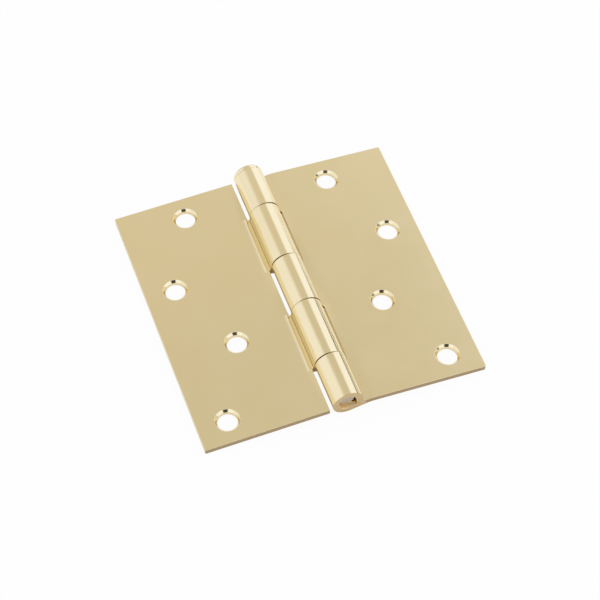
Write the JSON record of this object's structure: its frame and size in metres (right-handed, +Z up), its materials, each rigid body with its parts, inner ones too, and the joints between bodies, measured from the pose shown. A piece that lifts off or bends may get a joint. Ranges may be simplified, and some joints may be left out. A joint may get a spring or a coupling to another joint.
{
  "type": "full mortise hinge",
  "caption": "Square-cornered full mortise butt hinge: two flat leaves with countersunk screw holes, rolled into interleaved knuckles on a loose headed pin, lying open flat.",
  "frame": {"origin": "on the table, under the pin axis, at the middle of the whole length with the pin's head", "axes": "+X out over the three-knuckle leaf, +Y along the barrel to the pin's head, +Z up out of the countersunk faces"},
  "size_m": [0.1014, 0.1036, 0.0107],
  "materials": {
    "leaf_plate": "polished bright brass plate over steel",
    "pin_plate": "polished bright brass plate over steel"
  },
  "bodies": {
    "fixed_leaf": {"three_knuckle_leaf": "leaf_plate"},
    "swinging_leaf": {"two_knuckle_leaf": "leaf_plate"},
    "pin": {"hinge_pin": "pin_plate"}
  },
  "joints": [
    {"name": "leaf_swing", "type": "hinge", "parent": "fixed_leaf", "child": "swinging_leaf", "pos_m": [0, 0, 0.00535], "axis": [0, 1, 0], "range_deg": [-116, 187]},
    {"name": "pin_draw", "type": "slide", "parent": "fixed_leaf", "child": "pin", "axis": [0, 1, 0], "range_m": [0, 0.1]}
  ]
}
